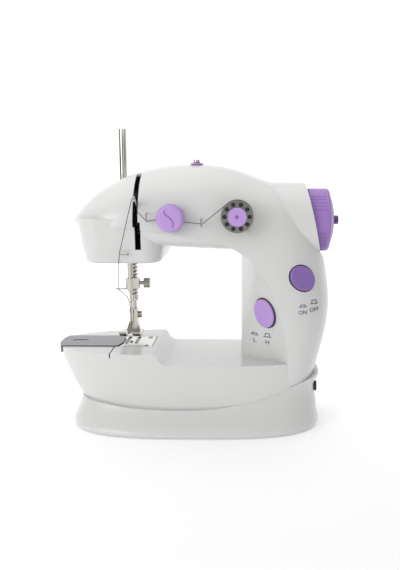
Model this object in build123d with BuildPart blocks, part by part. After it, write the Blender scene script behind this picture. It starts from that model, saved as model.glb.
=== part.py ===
from build123d import *
from math import asin, copysign, cos, pi, radians, sin, sqrt
import os

os.makedirs("parts", exist_ok=True)

# ---------------------------------------------------------------- driving dimensions (mm)
WALL = 2.0              # moulded shell wall
GAP = 0.35              # clearance between pieces of different bodies
BED_Z = 47.0            # sewing bed
DECK_Z = 54.6           # raised deck round the needle
HEAD_Z = 124.5          # split between arm and needle cover
COVER_Z = 115.0         # underside of the needle cover
SHAFT_Z = 141.3         # main shaft and handwheel axis
LOWER_Z = 27.0          # lower shaft axis
NEEDLE_X = -47.2        # needle line
BAR_R = 1.8             # needle bar radius
PRESSER_Y = 8.5         # presser bar, behind the needle bar
PRESSER_X = -46.4
CRANK_R = 12.5          # half the needle stroke
LEVER_X = -36.6         # plane of the take-up lever
LEVER_Y = -20.0         # take-up pivot
LEVER_Z = 147.0
EYE_Y = -41.5           # take-up eye at rest
EYE_Z = 157.8
WHEEL_R = 21.3
GUARD_R = 25.5
BOBBIN_R = 10.25        # class 15 bobbin
HOOK_X = -68.0          # vertical axis of the rotary hook
THREAD_R = 0.22


def save(builder, name):
    builder.part.label = name
    export_step(builder.part, "parts/" + name + ".step")


# ---------------------------------------------------------------- outlines
def oval(left, right, half_width, left_power, right_power):
    """Points of a boat-shaped closed outline, symmetrical about the X axis."""
    middle = (left + right) / 2
    reach = (right - left) / 2
    pts = []
    for k in range(48):
        c = cos(2 * pi * k / 48)
        s = sin(2 * pi * k / 48)
        power = right_power if c > 0 else left_power
        x = middle + reach * copysign(abs(c) ** (2 / power), c)
        pts.append((x, half_width * copysign(abs(s) ** (2 / power), s)))
    return pts


def dome(width, height, power):
    """Points of a half oval standing on the local X axis, the cross-section of the arm."""
    pts = []
    for k in range(17):
        t = pi * k / 16
        x = copysign(abs(cos(t)) ** (2 / power), cos(t)) if k != 8 else 0
        pts.append((width * x, height * sin(t) ** (2 / power) if 0 < k < 16 else 0))
    return pts


# inner edge x, z; outer edge x, z; half width; roundness
BAND = [
    (-83.7, 140.5, -83.7, 142.0, 3.6, 2.0),
    (-81.5, 140.5, -81.5, 145.6, 12.5, 2.0),
    (-76.2, 140.4, -76.2, 151.6, 21.6, 2.0),
    (-67.3, 140.0, -67.3, 159.8, 29.3, 2.0),
    (-55.5, 139.5, -55.5, 166.8, 34.2, 2.0),
    (-40.7, 138.4, -40.0, 173.5, 36.0, 2.05),
    (-21.0, 136.0, -20.0, 177.5, 36.3, 2.05),
    (-1.0, 133.2, 2.4, 179.0, 36.2, 2.1),
    (13.0, 130.5, 25.4, 175.6, 35.9, 2.1),
    (23.0, 126.4, 46.5, 168.0, 35.4, 2.2),
    (34.0, 119.9, 67.0, 159.2, 34.9, 2.25),
    (41.0, 112.9, 79.0, 142.5, 34.5, 2.3),
    (46.9, 104.3, 85.6, 124.0, 34.2, 2.3),
    (51.4, 94.6, 88.9, 107.7, 34.0, 2.3),
    (55.3, 83.3, 91.2, 89.0, 33.8, 2.35),
    (58.7, 70.1, 90.4, 74.0, 33.5, 2.4),
    (60.9, 56.0, 87.0, 56.6, 32.4, 2.4),
    (61.8, 45.0, 83.6, 44.0, 30.9, 2.4),
    (61.0, 31.0, 80.2, 31.0, 28.0, 2.4),
    (58.0, 17.0, 76.0, 17.0, 25.0, 2.4),
]


def arm_band(inset):
    """The C-shaped outer band of arm and column."""
    with BuildPart() as band:
        for ix, iz, ox, oz, width, power in BAND:
            if inset and ix < -70:
                continue
            out = Vector(ox - ix, 0, oz - iz)
            height = out.length - 2 * inset
            out = out.normalized()
            side = Vector(0, 1, 0)
            foot = Vector(ix, 0, iz) + out * inset
            with BuildSketch(Plane(origin=foot, x_dir=side, z_dir=side.cross(out))):
                with BuildLine():
                    arch = Spline(*dome(width - inset, height, power))
                    Line(arch @ 1, arch @ 0)
                make_face()
        loft()
    return band.part


def head_strip(inset):
    """The straight-sided strip under the arm's nose."""
    with BuildPart() as strip:
        for z, left, right, width in ((HEAD_Z, -74.6, -20.5, 34.0), (144.5 - inset, -77.6, -19.5, 34.8)):
            with BuildSketch(Plane.XY.offset(z)):
                with Locations(((left + right) / 2, 0)):
                    RectangleRounded(right - left - 2 * inset, 2 * (width - inset), 14 - inset)
        loft()
    return strip.part


def arm_belly(inset):
    """The shallow round underside of the arm."""
    with BuildPart() as belly:
        for x, top, low in ((-34 + inset, 145, 124.7), (-20, 143, 124.6), (10, 140, 123.4), (36, 137, 122.8)):
            z = top - inset
            plane = Plane(origin=(x, 0, z), x_dir=(0, 1, 0), z_dir=(-1, 0, 0))
            with BuildSketch(plane):
                with BuildLine():
                    arch = Spline(*dome(34.7 - inset, z - low - inset, 4.2))
                    Line(arch @ 1, arch @ 0)
                make_face()
        loft()
    return belly.part


def throat(inset):
    """The hollow-faced inner side of the column."""
    with BuildPart() as column:
        # height, crease x, how low the hollow reaches, half width
        for z, crease, low, width in (
            (40, 62.5, 1.0, 28.0), (47, 62.0, 1.0, 31.4), (56, 61.5, 0.9, 33.2),
            (80, 57.5, 0.6, 34.0), (100, 51, 0.3, 34.0), (124, 41, 0.0, 34.0),
        ):
            reach = crease - 30.6
            rows = [
                (0.03, 0.10),
                (0.14, 0.30 - 0.07 * low),
                (0.34, 0.56 - 0.14 * low),
                (0.63, 0.81 - 0.24 * low),
                (0.84, 0.92 - 0.16 * low),
                (1.0, 0.985),
            ]
            half = [(30.6 + inset + reach * u, (width - inset) * v) for u, v in rows]
            pts = [(x, -y) for x, y in reversed(half)] + [(30.6 + inset, 0)] + half
            with BuildSketch(Plane.XY.offset(z)):
                with BuildLine():
                    Spline(*pts)
                    Polyline(pts[-1], (crease + 9, 0.8 * pts[-1][1]), (crease + 9, 0.8 * pts[0][1]), pts[0])
                make_face()
        loft()
    return column.part


# height, left end, right end, half width
HULL = [
    (8.0, -73.5, 75.0, 31.5),
    (18.4, -81.2, 78.8, 33.6),
    (28.7, -87.2, 80.0, 34.8),
    (37.6, -91.0, 81.2, 35.7),
    (46.4, -94.6, 83.2, 36.3),
    (DECK_Z, -96.0, 86.2, 36.6),
]

# seam between hull and base skirt, seen from the front
SEAM = [(-100, 20.2), (-78, 19.3), (-64, 18.4), (-49, 17.1), (-29, 16.2), (-9, 15.9),
        (17, 17.4), (36, 20.8), (56, 27.1), (70, 32.6), (84, 36.5), (100, 39.5)]


def above_seam():
    with BuildPart() as upper:
        with BuildSketch(Plane.XZ):
            with BuildLine():
                Spline(*SEAM)
                Polyline(SEAM[-1], (100, 260), (-100, 260), SEAM[0])
            make_face()
        extrude(amount=80, both=True)
    return upper.part


def bed_cut(inset):
    """Everything over the bed, with the curved step down from the deck."""
    with BuildPart() as over:
        with BuildSketch(Plane.XZ):
            with BuildLine():
                Polyline((-27.8 - inset, DECK_Z + 30), (-27.8 - inset, DECK_Z - inset))
                step = Spline(
                    (-27.8 - inset, DECK_Z - inset),
                    (-24.4 - inset, DECK_Z - 3.6 - inset),
                    (-18.0 - inset, BED_Z - inset),
                    tangents=[(1, -0.25), (1, 0)],
                )
                Polyline(step @ 1, (110, BED_Z - inset), (110, DECK_Z + 30), (-27.8 - inset, DECK_Z + 30))
            make_face()
        extrude(amount=60, both=True)
    return over.part


def hull(inset):
    with BuildPart() as boat:
        for z, left, right, width in HULL:
            level = z - inset if z == DECK_Z else z
            with BuildSketch(Plane.XY.offset(level)):
                with BuildLine():
                    Spline(*oval(left + inset, right - inset, width - inset, 2.6, 3.2), periodic=True)
                make_face()
        loft()
        add(bed_cut(inset), mode=Mode.SUBTRACT)
    return boat.part


def housing(inset):
    with BuildPart() as whole:
        add(hull(inset))
        add(arm_band(inset))
        add(throat(inset))
        add(arm_belly(inset))
        add(head_strip(inset))
    return whole.part


outer = housing(0)
cavity = housing(WALL)

# plane of the trimmed guard mouth
mouth = Plane(origin=(79.3, 0, SHAFT_Z), x_dir=(0, 1, 0), z_dir=(cos(radians(12.5)), 0, sin(radians(12.5))))


# ---------------------------------------------------------------- button seats on the column
power_seat = Plane(origin=(71.0, -29.5, 105.4), x_dir=(0.78, 0.3035, -0.6), z_dir=(0.431, -0.896, 0.107))
speed_seat = Plane(origin=(46.4, -22.9, 80.4), x_dir=(0.7, -0.713, 0), z_dir=(-0.701, -0.688, -0.186))

with BuildPart() as shell:
    add(outer)
    add(cavity, mode=Mode.SUBTRACT)
    add(above_seam(), mode=Mode.INTERSECT)
    # seat of the handwheel guard
    with BuildSketch(Plane.YZ.offset(46)):
        with Locations((0, SHAFT_Z)):
            Circle(GUARD_R)
    extrude(amount=60, mode=Mode.SUBTRACT)
    # slide plate pocket and the opening down to the bobbin
    with BuildSketch(Plane.XY.offset(DECK_Z - 1.2)):
        with Locations((-77.2, 0)):
            Rectangle(44, 28.8)
    extrude(amount=3, mode=Mode.SUBTRACT)
    with BuildSketch(Plane.XY.offset(DECK_Z - 4)):
        with Locations((-71.5, 0)):
            RectangleRounded(30, 23, 4)
    extrude(amount=6, mode=Mode.SUBTRACT)
    # needle plate pocket and the opening for needle and feed dog
    with BuildSketch(Plane.XY.offset(DECK_Z - 1.2)):
        with Locations((-43, 0)):
            Rectangle(25, 28.8)
    extrude(amount=3, mode=Mode.SUBTRACT)
    with BuildSketch(Plane.XY.offset(DECK_Z - 4)):
        with Locations((-46.8, 3.5)):
            Rectangle(13, 24)
    extrude(amount=6, mode=Mode.SUBTRACT)
    # thread slot across the deck
    with BuildSketch(Plane.XY.offset(DECK_Z - 3)):
        with Locations((-57, -26)):
            Rectangle(0.9, 23.5)
    extrude(amount=5, mode=Mode.SUBTRACT)
    # take-up lever slot: upper part in the arm, lower part in the nose
    with BuildSketch(Plane.XZ.offset(10)):
        with Locations((-37.2, 156)):
            Rectangle(3.4, 33.5)
        with Locations((-35.9, 133)):
            Rectangle(3.8, 19)
    extrude(amount=32, mode=Mode.SUBTRACT)
    # button holes
    with BuildSketch(power_seat.offset(-14)):
        Ellipse(10.3, 8.5)
    extrude(amount=26, mode=Mode.SUBTRACT)
    with BuildSketch(speed_seat.offset(-14)):
        Ellipse(9.5, 10.9)
    extrude(amount=26, mode=Mode.SUBTRACT)
    # holes for the spool rod, the winding stud and the presser lifter
    with Locations((-52, 12, 165)):
        Cylinder(2.9, 30, mode=Mode.SUBTRACT)
    with Locations((0.6, -4, 178)):
        Cylinder(1.5, 16, mode=Mode.SUBTRACT)
    with Locations(Location((PRESSER_X, 34, 129), (90, 0, 0))):
        Cylinder(3.1, 14, mode=Mode.SUBTRACT)
    # tension post and bobbin spindle seats
    with Locations(Location((-13.7, -33, 145.8), (90, 0, 0))):
        Cylinder(2.0, 14, mode=Mode.SUBTRACT)
    with Locations(Location((28.5, -33, 147), (90, 0, 0))):
        Cylinder(2.9, 18, mode=Mode.SUBTRACT)

for name, keep in (("front_housing", Keep.BOTTOM), ("rear_housing", Keep.TOP)):
    with BuildPart() as half:
        add(shell.part)
        split(bisect_by=Plane(origin=(0, 0, 0), x_dir=(1, 0, 0), z_dir=(0, 1, 0)), keep=keep)
    save(half, name)

# ---------------------------------------------------------------- needle cover under the nose
with BuildPart() as nose_cover:
    for z, left, right, width, corner in (
        (COVER_Z, -72.0, -22.2, 31.8, 11),
        (HEAD_Z, -74.4, -20.7, 33.8, 13.8),
    ):
        with BuildSketch(Plane.XY.offset(z)):
            with Locations(((left + right) / 2, 0)):
                RectangleRounded(right - left, 2 * width, corner)
    loft()
    fillet(nose_cover.faces().sort_by(Axis.Z)[0].edges(), 3.2)
    with BuildSketch(Plane.XY.offset(COVER_Z + WALL)):
        with Locations((-47.3, 0)):
            RectangleRounded(46.5, 60.5, 9)
    extrude(amount=20, mode=Mode.SUBTRACT)
    with BuildSketch(Plane.XY.offset(COVER_Z - 1)):
        with Locations((NEEDLE_X, 4.5)):
            RectangleRounded(13, 22, 4)
        with Locations((-64.5, 0)):
            Circle(2.6)
    extrude(amount=8, mode=Mode.SUBTRACT)
save(nose_cover, "nose_cover")

# ---------------------------------------------------------------- base
# height, left end, right end, half width
SKIRT = [
    (1.0, -86.2, 84.2, 46.9),
    (3.0, -87.0, 85.0, 47.5),
    (8.0, -85.8, 84.2, 43.6),
    (13.0, -83.8, 83.6, 38.2),
    (18.5, -82.0, 82.9, 34.6),
    (28.0, -80.8, 82.2, 33.9),
    (40.0, -80.2, 81.4, 33.6),
]


def skirt(inset):
    with BuildPart() as ring:
        for z, left, right, width in SKIRT:
            with BuildSketch(Plane.XY.offset(z)):
                with BuildLine():
                    Spline(*oval(left + inset, right - inset, width - inset, 3.0, 3.0), periodic=True)
                make_face()
        loft()
    return ring.part


with BuildPart() as base_skirt:
    add(skirt(0))
    add(skirt(WALL + 1.4), mode=Mode.SUBTRACT)
    add(above_seam(), mode=Mode.SUBTRACT)
    # side holes for the two sockets
    with BuildSketch(Plane.YZ.offset(70)):
        with Locations((-6, 24.5), (8, 24.5)):
            Circle(3.6)
    extrude(amount=20, mode=Mode.SUBTRACT)
save(base_skirt, "base_skirt")

with BuildPart() as base_plate:
    with BuildSketch(Plane.XY.offset(1.0)):
        with BuildLine():
            Spline(*oval(-82.6, 80.6, 43.2, 3.0, 3.0), periodic=True)
        make_face()
        with Locations((-8, 0)):
            Rectangle(72, 46, mode=Mode.SUBTRACT)
    extrude(amount=2.0)
    # posts that carry the hull
    with BuildSketch(Plane.XY.offset(3)):
        with Locations((-60, -20), (-60, 20), (52, -20), (52, 20)):
            Circle(4)
            Circle(1.5, mode=Mode.SUBTRACT)
    extrude(amount=9)
    # battery box
    with BuildSketch(Plane.XY.offset(3.0)):
        with Locations((-8, 0)):
            Rectangle(76, 50)
            Rectangle(72, 46, mode=Mode.SUBTRACT)
    extrude(amount=9)
    with BuildSketch(Plane.XY.offset(12)):
        with Locations((-8, 0)):
            Rectangle(76, 50)
    extrude(amount=1.6)
save(base_plate, "base_plate")

with BuildPart() as battery_door:
    with BuildSketch(Plane.XY.offset(1.0)):
        with Locations((-8, 0)):
            RectangleRounded(71.3, 45.3, 1)
    extrude(amount=1.6)
    with BuildSketch(Plane.XY.offset(1.0)):
        with Locations((14, 0), (17, 0), (20, 0)):
            Rectangle(1.2, 20)
    extrude(amount=0.6, mode=Mode.SUBTRACT)
save(battery_door, "battery_door")

with BuildPart() as rubber_feet:
    with BuildSketch(Plane.XY):
        with Locations((-58, -30), (-58, 30), (58, -29), (58, 29)):
            Circle(6)
    extrude(amount=1.0)
save(rubber_feet, "rubber_feet")

with BuildPart() as base_screws:
    with BuildSketch(Plane.XY.offset(0.4)):
        with Locations((-60, -20), (-60, 20), (52, -20), (52, 20)):
            Circle(3)
            RegularPolygon(0.9, 4, mode=Mode.SUBTRACT)
    extrude(amount=0.6)
save(base_screws, "base_screws")

# ---------------------------------------------------------------- sockets and electrics
with BuildPart() as sockets:
    # foot switch socket and power socket
    for y, bore in ((-6, 1.8), (8, 2.6)):
        with BuildSketch(Plane.YZ.offset(72)):
            with Locations((y, 24.5)):
                Circle(3.6)
                Circle(bore, mode=Mode.SUBTRACT)
        extrude(amount=11.6)
        with BuildSketch(Plane.YZ.offset(72)):
            with Locations((y, 24.5)):
                Circle(3.6)
        extrude(amount=2)
save(sockets, "sockets")

with BuildPart() as circuit_board:
    with BuildSketch(Plane.XY.offset(12.2)):
        with Locations((62, 0)):
            Rectangle(24, 40)
    extrude(amount=1.6)
    with BuildSketch(Plane.XY.offset(13.8)):
        with Locations((62, -12)):
            Rectangle(8, 8)
        with Locations((58, 12), (66, 12)):
            Circle(2.5)
    extrude(amount=5)
save(circuit_board, "circuit_board")

# ---------------------------------------------------------------- needle plate and slide plate
with BuildPart() as needle_plate:
    with BuildSketch(Plane.XY.offset(DECK_Z - 1.2)):
        with BuildLine():
            Polyline(
                (-54.4, -14), (-31.2, -14), (-31.2, 14), (-54.4, 14), (-52.0, 6), (-52.0, -6), close=True
            )
        make_face()
        with Locations((NEEDLE_X - 2.9, 3.5), (NEEDLE_X + 3.8, 3.5)):
            SlotOverall(19.4, 2.3, rotation=90, mode=Mode.SUBTRACT)
        with Locations((NEEDLE_X, -1.5)):
            SlotOverall(6, 1.8, rotation=90, mode=Mode.SUBTRACT)
    extrude(amount=1.2)
save(needle_plate, "needle_plate")

with BuildPart() as bow_edge:
    for z, grow in ((DECK_Z - 4.4, 1.0), (DECK_Z + 1, 1.0)):
        with BuildSketch(Plane.XY.offset(z)):
            with BuildLine():
                Spline(*oval(-96.0 - grow, 86, 36.6 + grow, 2.6, 3.2), periodic=True)
            make_face()
    loft()

with BuildPart() as bow_inside:
    for z in (DECK_Z - 6, DECK_Z - 0.85):
        with BuildSketch(Plane.XY.offset(z)):
            with BuildLine():
                Spline(*oval(-96.3, 86, 36.9, 2.6, 3.2), periodic=True)
            make_face()
    loft()

with BuildPart() as slide_plate:
    with BuildSketch(Plane.XY.offset(DECK_Z - 4.4)):
        with BuildLine():
            Polyline(
                (-100, -14), (-55.2, -14), (-52.6, -5.6), (-52.6, 5.6), (-55.2, 14), (-100, 14), close=True
            )
        make_face()
    extrude(amount=5.1)
    add(bow_edge.part, mode=Mode.INTERSECT)
    add(bow_inside.part, mode=Mode.SUBTRACT)
    # thumb recess
    with BuildSketch(Plane.XY.offset(DECK_Z + 0.4)):
        with Locations((-84, 0)):
            SlotOverall(11, 5)
    extrude(amount=1, mode=Mode.SUBTRACT)
save(slide_plate, "slide_plate")

# ---------------------------------------------------------------- handwheel guard, wheel and main shaft
with BuildPart() as wheel_guard:
    with BuildSketch(Plane.YZ.offset(46)):
        with Locations((0, SHAFT_Z)):
            Circle(GUARD_R)
            Circle(GUARD_R - WALL, mode=Mode.SUBTRACT)
    extrude(amount=50)
    with BuildSketch(Plane.YZ.offset(67.5)):
        with Locations((0, SHAFT_Z)):
            Circle(GUARD_R - WALL)
            Circle(4.5, mode=Mode.SUBTRACT)
    extrude(amount=3)
    split(bisect_by=mouth, keep=Keep.BOTTOM)
    # belt passage in the hidden part
    with Locations((51.5, 0, SHAFT_Z - 19)):
        Box(16, 36, 26, mode=Mode.SUBTRACT)
save(wheel_guard, "wheel_guard")

with BuildPart() as handwheel:
    # turned profile, drawn as radius over distance along the shaft
    with BuildSketch(Plane.XZ):
        with BuildLine():
            Polyline(
                (72.6, SHAFT_Z + 3.0), (72.6, SHAFT_Z + 6.5), (75.2, SHAFT_Z + 6.5), (75.2, SHAFT_Z + 20.3),
                (76.2, SHAFT_Z + WHEEL_R), (88.4, SHAFT_Z + WHEEL_R)
            )
            RadiusArc((88.4, SHAFT_Z + WHEEL_R), (90.4, SHAFT_Z + WHEEL_R - 2.2), 2.4)
            Spline(
                (90.4, SHAFT_Z + WHEEL_R - 2.2), (92.6, SHAFT_Z + 12), (93.8, SHAFT_Z + 3.0),
                tangents=[(0.25, -1), (0.02, -1)],
            )
            Line((93.8, SHAFT_Z + 3.0), (72.6, SHAFT_Z + 3.0))
        make_face()
    revolve(axis=Axis((0, 0, SHAFT_Z), (1, 0, 0)))
    # finger grooves, in five groups round the rim
    with BuildSketch(Plane.YZ.offset(75)):
        with Locations((0, SHAFT_Z)):
            for group in range(5):
                for rib in range(5):
                    with PolarLocations(WHEEL_R + 0.5, 1, start_angle=72 * group + 7 * rib - 14):
                        Circle(1.0)
    extrude(amount=12.5, mode=Mode.SUBTRACT)
save(handwheel, "handwheel")

with BuildPart() as winder_spindle:
    with BuildSketch(Plane.YZ.offset(72.6)):
        with Locations((0, SHAFT_Z)):
            Circle(3.0)
    extrude(amount=24.5)
    fillet(winder_spindle.faces().sort_by(Axis.X)[-1].edges(), 0.8)
save(winder_spindle, "winder_spindle")

with BuildPart() as main_shaft:
    with BuildSketch(Plane.YZ.offset(-27.4)):
        with Locations((0, SHAFT_Z)):
            Circle(3.0)
    extrude(amount=100.0)
save(main_shaft, "main_shaft")

with BuildPart() as crank_disc:
    with BuildSketch(Plane.YZ.offset(-29.9)):
        with Locations((0, SHAFT_Z)):
            Circle(8.5)
        with Locations((0, SHAFT_Z + CRANK_R)):
            Circle(4.2)
        with Locations((0, SHAFT_Z + CRANK_R / 2)):
            Rectangle(8, CRANK_R)
        with Locations((0, SHAFT_Z - 6.5)):
            Rectangle(24, 9)
    extrude(amount=2.5)
    with BuildSketch(Plane.YZ.offset(-29.9)):
        with Locations((0, SHAFT_Z + CRANK_R)):
            Circle(2.4)
    extrude(amount=-1.4)
save(crank_disc, "crank_disc")

with BuildPart() as upper_pulleys:
    for x, radius, width in ((44.0, 16.0, 5.0), (52.0, 9.0, 6.0)):
        with BuildSketch(Plane.YZ.offset(x)):
            with Locations((0, SHAFT_Z)):
                Circle(radius)
                Circle(3.0, mode=Mode.SUBTRACT)
        extrude(amount=width)
save(upper_pulleys, "upper_pulleys")

# ---------------------------------------------------------------- frame inside the head
with BuildPart() as head_frame:
    # cross rib under the shaft, cut to the inside of the shell
    add(cavity)
    with BuildSketch(Plane.YZ.offset(-25.5)):
        Rectangle(90, 400)
    extrude(amount=4.5, mode=Mode.INTERSECT)
    with BuildSketch(Plane.YZ.offset(-26)):
        with Locations((0, SHAFT_Z)):
            Circle(4.5)
        with Locations((-20, 160), (20, 160)):
            Circle(6)
        with Locations((24, 138)):
            Circle(4)
        with Locations((0, 60)):
            Rectangle(100, 130)
    extrude(amount=6, mode=Mode.SUBTRACT)
    # foot of the frame with the two bar guides
    with BuildSketch(Plane.XY.offset(118)):
        with Locations((-43.2, 2)):
            Rectangle(37.6, 44)
        with Locations((-55, -12)):
            Rectangle(8, 9, mode=Mode.SUBTRACT)
    extrude(amount=3)
    with BuildSketch(Plane.XY.offset(112.6)):
        with Locations((NEEDLE_X, 4.5)):
            RectangleRounded(11, 19, 4)
    extrude(amount=9.6)
    # web that joins foot and rib
    with BuildSketch(Plane.XZ.offset(-22)):
        with Locations((-25.95, 121.2)):
            Rectangle(3.1, 6.4)
        with Locations((-24.95, 123.2)):
            Rectangle(1.1, 6.0)
    extrude(amount=42)
    # pin of the take-up lever
    with BuildSketch(Plane.YZ.offset(-25.5)):
        with Locations((LEVER_Y, LEVER_Z)):
            Circle(1.5)
    extrude(amount=-12.6)
    with BuildSketch(Plane.YZ.offset(LEVER_X + 0.95)):
        with Locations((LEVER_Y, LEVER_Z)):
            Circle(2.0)
    extrude(amount=1.2)
    with Locations((NEEDLE_X, 0, 117)):
        Cylinder(3.0, 20, mode=Mode.SUBTRACT)
    with Locations((PRESSER_X, PRESSER_Y, 117)):
        Cylinder(2.05, 20, mode=Mode.SUBTRACT)
save(head_frame, "head_frame")

with BuildPart() as bushes:
    # main shaft
    for x, length in ((-25.5, 4.5), (67.5, 3.0)):
        with BuildSketch(Plane.YZ.offset(x)):
            with Locations((0, SHAFT_Z)):
                Circle(4.5)
                Circle(3.05, mode=Mode.SUBTRACT)
        extrude(amount=length)
    # needle bar
    with BuildSketch(Plane.XY.offset(112.6)):
        with Locations((NEEDLE_X, 0)):
            Circle(3.0)
            Circle(BAR_R + 0.05, mode=Mode.SUBTRACT)
    extrude(amount=9.6)
    # presser lifter
    with BuildSketch(Plane.XZ.offset(-29.2)):
        with Locations((PRESSER_X, 129)):
            Circle(3.1)
            Circle(2.76, mode=Mode.SUBTRACT)
    extrude(amount=-7.0)
    # spool rod
    with BuildSketch(Plane.XY.offset(150)):
        with Locations((-52, 12)):
            Circle(4.0)
            Circle(2.65, mode=Mode.SUBTRACT)
    extrude(amount=11.5)
save(bushes, "bushes")

# ---------------------------------------------------------------- needle bar group
with BuildPart() as needle_bar:
    with BuildSketch(Plane.XY.offset(90.5)):
        with Locations((NEEDLE_X, 0)):
            Circle(BAR_R)
    extrude(amount=70.5)
    chamfer(needle_bar.edges(), 0.3)
save(needle_bar, "needle_bar")

YOKE_Z = SHAFT_Z + CRANK_R
with BuildPart() as needle_yoke:
    with BuildSketch(Plane.YZ.offset(-34.9)):
        with Locations((0, YOKE_Z)):
            RectangleRounded(35, 10, 3)
            SlotOverall(30.4, 5.6, mode=Mode.SUBTRACT)
        with Locations((0, YOKE_Z + 5)):
            Rectangle(10, 3)
    extrude(amount=3.2)
    with BuildSketch(Plane.XY.offset(YOKE_Z + 3.5)):
        with Locations((-40.4, 0)):
            Rectangle(11.2, 7)
        with Locations((NEEDLE_X, 0)):
            Circle(3.9)
            Circle(BAR_R, mode=Mode.SUBTRACT)
    extrude(amount=3.0)
save(needle_yoke, "needle_yoke")

with BuildPart() as needle_clamp:
    with BuildSketch(Plane.XY.offset(93.4)):
        with Locations((NEEDLE_X, 0)):
            Circle(3.5)
        with Locations((NEEDLE_X + 4, 0)):
            RectangleRounded(5.6, 5.2, 0.8)
        with Locations((NEEDLE_X, 0)):
            Circle(BAR_R, mode=Mode.SUBTRACT)
    extrude(amount=7)
    # wire loop under the clamp, for the upper thread
    with BuildLine():
        Polyline((NEEDLE_X - 2.6, -1.0, 93.0), (NEEDLE_X - 7.0, -3.2, 93.0), (NEEDLE_X - 9.4, -4.6, 93.6))
    with BuildSketch(Plane(origin=(NEEDLE_X - 2.6, -1.0, 93.0), z_dir=(-4.4, -2.2, 0))):
        Circle(0.4)
    sweep(transition=Transition.ROUND)
    with BuildSketch(Plane.XY.offset(92.4)):
        with Locations((NEEDLE_X, 0)):
            Circle(3.2)
            Circle(BAR_R, mode=Mode.SUBTRACT)
    extrude(amount=1.0)
save(needle_clamp, "needle_clamp")

with BuildPart() as clamp_screw:
    with BuildSketch(Plane.YZ.offset(NEEDLE_X + 6.8)):
        with Locations((0, 97)):
            Circle(1.3)
    extrude(amount=2.8)
    with BuildSketch(Plane.YZ.offset(NEEDLE_X + 9.6)):
        with Locations((0, 97)):
            Circle(3.5)
            with PolarLocations(3.6, 18):
                Circle(0.28, mode=Mode.SUBTRACT)
    extrude(amount=4.2)
save(clamp_screw, "clamp_screw")

with BuildPart() as needle:
    with BuildSketch(Plane.XZ):
        with BuildLine():
            Polyline(
                (NEEDLE_X, 90.5), (NEEDLE_X + 1.0, 90.5), (NEEDLE_X + 1.0, 83.5), (NEEDLE_X + 0.42, 82.2),
                (NEEDLE_X + 0.42, 73.4), (NEEDLE_X, 71.0), close=True
            )
        make_face()
    revolve(axis=Axis((NEEDLE_X, 0, 0), (0, 0, 1)))
    with Locations(Location((NEEDLE_X, 0, 74.6), (90, 0, 0))):
        Cylinder(0.16, 2, mode=Mode.SUBTRACT)
save(needle, "needle")

# ---------------------------------------------------------------- presser group
with BuildPart() as presser_bar:
    with BuildSketch(Plane.XY.offset(66.0)):
        with Locations((PRESSER_X, PRESSER_Y)):
            Circle(2.0)
    extrude(amount=74)
    chamfer(presser_bar.edges(), 0.3)
    # spring collar
    with BuildSketch(Plane.XY.offset(83.2)):
        with Locations((PRESSER_X, PRESSER_Y)):
            Circle(3.3)
    extrude(amount=2.0)
    # lifting block above the frame
    with BuildSketch(Plane.XY.offset(130.2)):
        with Locations((PRESSER_X, PRESSER_Y + 1.6)):
            RectangleRounded(7, 7.2, 1)
    extrude(amount=5)
save(presser_bar, "presser_bar")

COILS = 10
with BuildPart() as presser_spring:
    with BuildLine(Plane(origin=(PRESSER_X, PRESSER_Y, 85.75))):
        coil = Helix(pitch=26.3 / COILS, height=26.3, radius=2.95)
    with BuildSketch(Plane(origin=coil @ 0, z_dir=coil % 0)):
        Circle(0.42)
    sweep(is_frenet=True)
save(presser_spring, "presser_spring")

with BuildPart() as presser_foot:
    # sole with two toes
    with BuildSketch(Plane.YZ.offset(NEEDLE_X - 7)):
        with BuildLine():
            Polyline(
                (9.5, 60.0), (9.5, 61.6), (-6.0, 61.6), (-11.0, 64.0), (-11.6, 63.0), (-6.4, 60.0), close=True
            )
        make_face()
    extrude(amount=14.4)
    with BuildSketch(Plane.XY.offset(58)):
        with Locations((NEEDLE_X, -7.5)):
            SlotOverall(18, 4.4, rotation=90)
    extrude(amount=8, mode=Mode.SUBTRACT)
    # ankle up to the bar
    with BuildSketch(Plane.XZ.offset(-5.2)):
        with BuildLine():
            Polyline(
                (NEEDLE_X - 4.6, 61.2), (NEEDLE_X + 5.2, 61.2), (NEEDLE_X + 3.6, 68.4), (NEEDLE_X + 3.6, 77.2),
                (NEEDLE_X - 2.2, 77.2), (NEEDLE_X - 2.2, 68.4), close=True
            )
        make_face()
    extrude(amount=-6.6)
    with Locations((PRESSER_X, PRESSER_Y, 74)):
        Cylinder(2.0, 16, mode=Mode.SUBTRACT)
save(presser_foot, "presser_foot")

with BuildPart() as foot_screw:
    with BuildSketch(Plane.YZ.offset(NEEDLE_X + 3.6)):
        with Locations((PRESSER_Y, 72.5)):
            Circle(2.4)
    extrude(amount=2.6)
    with BuildSketch(Plane.YZ.offset(NEEDLE_X + 6.2)):
        with Locations((PRESSER_Y, 72.5)):
            Rectangle(4.8, 0.7)
    extrude(amount=-0.7, mode=Mode.SUBTRACT)
save(foot_screw, "foot_screw")

with BuildPart() as presser_lifter:
    with BuildSketch(Plane.XZ.offset(-16.2)):
        with Locations((PRESSER_X, 129)):
            Circle(4.5)
    extrude(amount=-2.4)
    with BuildSketch(Plane.XZ.offset(-18.6)):
        with Locations((PRESSER_X, 129)):
            Circle(2.7)
    extrude(amount=-18.6)
    with BuildSketch(Plane.XZ.offset(-37.2)):
        with Locations((PRESSER_X, 129)):
            Circle(4.6)
        with Locations((PRESSER_X + 12, 129)):
            SlotOverall(28, 6.4)
    extrude(amount=-2.6)
save(presser_lifter, "presser_lifter")

# ---------------------------------------------------------------- take-up lever
lever_reach = sqrt((EYE_Z - LEVER_Z) ** 2 + (LEVER_Y - EYE_Y) ** 2)
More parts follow.
